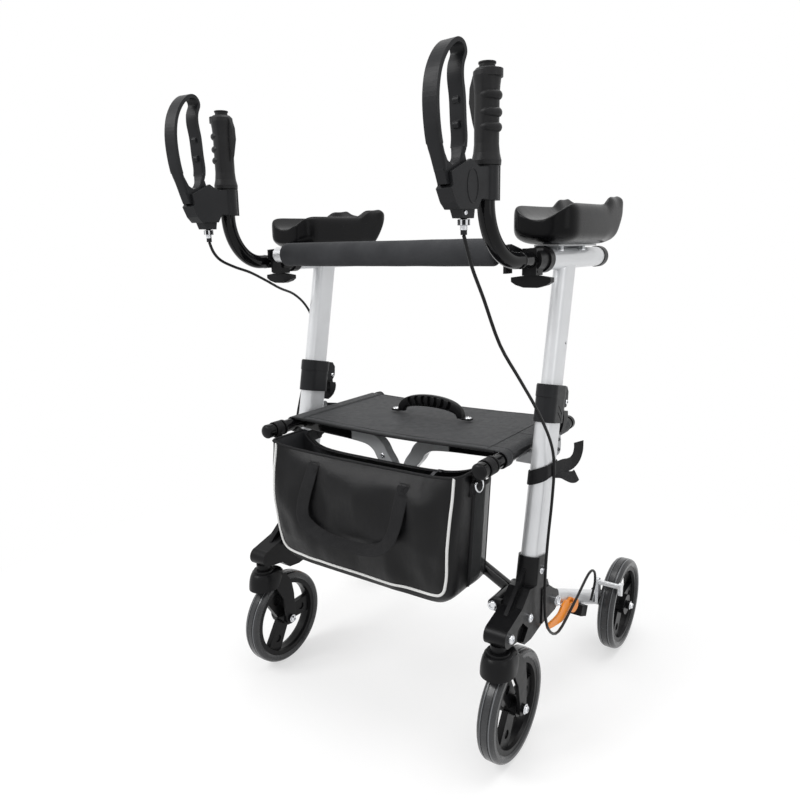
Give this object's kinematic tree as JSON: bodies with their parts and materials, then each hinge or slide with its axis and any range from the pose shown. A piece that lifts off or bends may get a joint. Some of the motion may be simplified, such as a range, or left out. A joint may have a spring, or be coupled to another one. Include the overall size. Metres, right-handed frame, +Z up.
{
  "type": "upright walker",
  "caption": "Upright rolling walker with forearm pads, hand brakes, sling seat, bag, swivel casters and a folding cross brace.",
  "frame": {"origin": "floor point under the middle of the bounding box", "axes": "+Z up, -Y the front with the handles, X across the walker"},
  "size_m": [0.699, 0.7712, 1.1454],
  "materials": {
    "silver": "satin",
    "black_plastic": "satin",
    "bright_metal": "bright",
    "gloss_black": "gloss",
    "grip_rubber": "matte",
    "pad_foam": "semi-gloss skin",
    "hub_plastic": "satin",
    "tyre": "semi-gloss",
    "orange_plastic": "gloss",
    "cable_sleeve": "satin",
    "webbing": "woven",
    "seat_cloth": "woven nylon",
    "brace_paint": "gloss",
    "bag_cloth": "woven nylon",
    "foam": "matte foam"
  },
  "bodies": {
    "left_frame": {"post_left": "silver", "bracket_left": "black_plastic", "bolts_left": "bright_metal", "collar_left": "black_plastic", "cable_left": "cable_sleeve", "strap_left": "webbing"},
    "arm_left": {"arm_left": "silver", "arm_fittings_left": "black_plastic", "pad_left": "pad_foam", "pad_plate_left": "bright_metal", "foam_bar": "foam"},
    "handle_left": {"handle_left": "gloss_black", "grip_left": "grip_rubber", "brake_housing_left": "black_plastic"},
    "lever_left": {"brake_lever_left": "black_plastic"},
    "caster_left": {"caster_fork_left": "black_plastic"},
    "front_wheel_left": {"front_hub_left": "hub_plastic", "front_tyre_left": "tyre"},
    "leg_left": {"rear_leg_left": "silver", "leg_fittings_left": "black_plastic"},
    "rear_wheel_left": {"rear_hub_left": "hub_plastic", "rear_tyre_left": "tyre"},
    "brake_left": {"brake_bar_left": "black_plastic"},
    "latch_left": {"latch_left": "orange_plastic"},
    "collar_lever_left": {"collar_lever_left": "black_plastic"},
    "clamp_knob_left": {"clamp_knob_left": "black_plastic"},
    "seat_left": {"seat_left": "seat_cloth"},
    "right_frame": {"post_right": "silver", "bracket_right": "black_plastic", "bolts_right": "bright_metal", "collar_right": "black_plastic", "cable_right": "cable_sleeve", "strap_right": "webbing"},
    "arm_right": {"arm_right": "silver", "arm_fittings_right": "black_plastic", "pad_right": "pad_foam", "pad_plate_right": "bright_metal"},
    "handle_right": {"handle_right": "gloss_black", "grip_right": "grip_rubber", "brake_housing_right": "black_plastic"},
    "lever_right": {"brake_lever_right": "black_plastic"},
    "caster_right": {"caster_fork_right": "black_plastic"},
    "front_wheel_right": {"front_hub_right": "hub_plastic", "front_tyre_right": "tyre"},
    "leg_right": {"rear_leg_right": "silver", "leg_fittings_right": "black_plastic"},
    "rear_wheel_right": {"rear_hub_right": "hub_plastic", "rear_tyre_right": "tyre"},
    "brake_right": {"brake_bar_right": "black_plastic"},
    "latch_right": {"latch_right": "orange_plastic"},
    "collar_lever_right": {"collar_lever_right": "black_plastic"},
    "clamp_knob_right": {"clamp_knob_right": "black_plastic"},
    "seat_right": {"seat_right": "seat_cloth"},
    "brace_a": {"brace_a": "brace_paint", "rail_right": "brace_paint"},
    "brace_b": {"brace_b": "brace_paint", "rail_left": "brace_paint"},
    "cross": {"cross_bolt": "bright_metal"},
    "bag": {"bag": "bag_cloth"},
    "seat_handle": {"seat_handle": "black_plastic"}
  },
  "joints": [
    {"name": "fold", "type": "hinge", "parent": "left_frame", "child": "brace_a", "pos_m": [-0.244, -0.083, 0.285], "axis": [0, -1, 0], "range_deg": [0, 36], "deforming": ["bag", "foam_bar", "seat_left", "seat_right", "seat_handle"]},
    {"name": "brace_cross", "type": "hinge", "parent": "brace_a", "child": "brace_b", "pos_m": [0, -0.096, 0.41206], "axis": [0, -1, 0], "range_deg": [-72.5, 0.5]},
    {"name": "right_pivot", "type": "hinge", "parent": "brace_b", "child": "right_frame", "pos_m": [0.244, -0.109, 0.285], "axis": [0, -1, 0], "range_deg": [-0.5, 36.5]},
    {"name": "cross_level", "type": "hinge", "parent": "brace_a", "child": "cross", "pos_m": [0, -0.096, 0.41206], "axis": [0, -1, 0], "range_deg": [-36.5, 0.5]},
    {"name": "bag_lift", "type": "slide", "parent": "cross", "child": "bag", "axis": [0, 0, 1], "range_m": [-0.002, 0.1202]},
    {"name": "seat_handle_lift", "type": "slide", "parent": "cross", "child": "seat_handle", "axis": [0, 0, 1], "range_m": [-0.002, 0.3259]},
    {"name": "seat_fold_left", "type": "hinge", "parent": "brace_b", "child": "seat_left", "pos_m": [-0.238, 0, 0.536], "axis": [0, -1, 0], "range_deg": [-1, 96.8]},
    {"name": "seat_fold_right", "type": "hinge", "parent": "brace_a", "child": "seat_right", "pos_m": [0.238, 0, 0.536], "axis": [0, -1, 0], "range_deg": [-96.8, 1]},
    {"name": "arm_height_left", "type": "slide", "parent": "left_frame", "child": "arm_left", "axis": [0, 0.1994, 0.9799], "range_m": [-0.04, 0.12], "deforming": ["cable_left"]},
    {"name": "handle_reach_left", "type": "slide", "parent": "arm_left", "child": "handle_left", "axis": [0, -1, 0], "range_m": [-0.015, 0.04], "deforming": ["cable_left"]},
    {"name": "brake_lever_left", "type": "hinge", "parent": "handle_left", "child": "lever_left", "pos_m": [-0.2599, -0.31716, 0.966], "axis": [-0.9945, -0.1045, 0], "range_deg": [0, 12], "stiffness_Nm_per_rad": 1, "springref_deg": -8.59},
    {"name": "brake_shoe_left", "type": "hinge", "parent": "leg_left", "child": "brake_left", "pos_m": [-0.276, 0.21492, 0.13213], "axis": [-1, 0, 0], "range_deg": [-0.5, 7]},
    {"name": "caster_swivel_left", "type": "hinge", "parent": "left_frame", "child": "caster_left", "pos_m": [-0.276, -0.219, 0.231], "axis": [0, 0, 1], "continuous": true},
    {"name": "front_wheel_spin_left", "type": "hinge", "parent": "caster_left", "child": "front_wheel_left", "pos_m": [-0.276, -0.169, 0.1], "axis": [1, 0, 0], "continuous": true},
    {"name": "rear_leg_fold_left", "type": "hinge", "parent": "left_frame", "child": "leg_left", "pos_m": [-0.276, -0.037, 0.246], "axis": [1, 0, 0], "range_deg": [0, 95], "deforming": ["cable_left"]},
    {"name": "rear_wheel_spin_left", "type": "hinge", "parent": "leg_left", "child": "rear_wheel_left", "pos_m": [-0.322, 0.286, 0.1], "axis": [1, 0, 0], "continuous": true},
    {"name": "latch_release_left", "type": "hinge", "parent": "leg_left", "child": "latch_left", "pos_m": [-0.276, 0.04983, 0.20017], "axis": [1, 0, 0], "range_deg": [0, 20], "stiffness_Nm_per_rad": 0.3, "springref_deg": -17.19},
    {"name": "collar_lever_open_left", "type": "hinge", "parent": "left_frame", "child": "collar_lever_left", "pos_m": [-0.276, 0.01308, 0.61109], "axis": [1, 0, 0], "range_deg": [0, 105]},
    {"name": "clamp_knob_turn_left", "type": "hinge", "parent": "arm_left", "child": "clamp_knob_left", "pos_m": [-0.276, -0.119, 0.84], "axis": [0, 0, 1], "range_deg": [-180, 180]},
    {"name": "arm_height_right", "type": "slide", "parent": "right_frame", "child": "arm_right", "axis": [0, 0.1994, 0.9799], "range_m": [-0.041, 0.121], "deforming": ["cable_right"]},
    {"name": "handle_reach_right", "type": "slide", "parent": "arm_right", "child": "handle_right", "axis": [0, -1, 0], "range_m": [-0.015, 0.04], "deforming": ["cable_right"]},
    {"name": "brake_lever_right", "type": "hinge", "parent": "handle_right", "child": "lever_right", "pos_m": [0.2599, -0.31716, 0.966], "axis": [-0.9945, 0.1045, 0], "range_deg": [0, 12], "stiffness_Nm_per_rad": 1, "springref_deg": -8.59},
    {"name": "brake_shoe_right", "type": "hinge", "parent": "leg_right", "child": "brake_right", "pos_m": [0.276, 0.21492, 0.13213], "axis": [-1, 0, 0], "range_deg": [-0.5, 7]},
    {"name": "caster_swivel_right", "type": "hinge", "parent": "right_frame", "child": "caster_right", "pos_m": [0.276, -0.219, 0.231], "axis": [0, 0, 1], "continuous": true},
    {"name": "front_wheel_spin_right", "type": "hinge", "parent": "caster_right", "child": "front_wheel_right", "pos_m": [0.276, -0.169, 0.1], "axis": [1, 0, 0], "continuous": true},
    {"name": "rear_leg_fold_right", "type": "hinge", "parent": "right_frame", "child": "leg_right", "pos_m": [0.276, -0.037, 0.246], "axis": [1, 0, 0], "range_deg": [0, 95], "deforming": ["cable_right"]},
    {"name": "rear_wheel_spin_right", "type": "hinge", "parent": "leg_right", "child": "rear_wheel_right", "pos_m": [0.322, 0.286, 0.1], "axis": [1, 0, 0], "continuous": true},
    {"name": "latch_release_right", "type": "hinge", "parent": "leg_right", "child": "latch_right", "pos_m": [0.276, 0.04983, 0.20017], "axis": [1, 0, 0], "range_deg": [0, 20], "stiffness_Nm_per_rad": 0.3, "springref_deg": -17.19},
    {"name": "collar_lever_open_right", "type": "hinge", "parent": "right_frame", "child": "collar_lever_right", "pos_m": [0.276, 0.01308, 0.61109], "axis": [1, 0, 0], "range_deg": [0, 105]},
    {"name": "clamp_knob_turn_right", "type": "hinge", "parent": "arm_right", "child": "clamp_knob_right", "pos_m": [0.276, -0.119, 0.84], "axis": [0, 0, 1], "range_deg": [-180, 180]}
  ],
  "couplings": [
    {"joint": "brace_cross", "follows": "fold", "ratio": -2},
    {"joint": "right_pivot", "follows": "fold", "ratio": 1},
    {"joint": "cross_level", "follows": "fold", "ratio": -1},
    {"joint": "bag_lift", "follows": "fold", "m_per_rad": 0.18497},
    {"joint": "seat_handle_lift", "follows": "fold", "m_per_rad": 0.51237},
    {"joint": "seat_fold_left", "follows": "fold", "ratio": 2.66},
    {"joint": "seat_fold_right", "follows": "fold", "ratio": -2.66},
    {"joint": "brake_shoe_left", "follows": "brake_lever_left", "ratio": 0.53},
    {"joint": "brake_shoe_right", "follows": "brake_lever_right", "ratio": 0.53},
    {"joint": "arm_height_right", "follows": "arm_height_left", "ratio": 1}
  ]
}
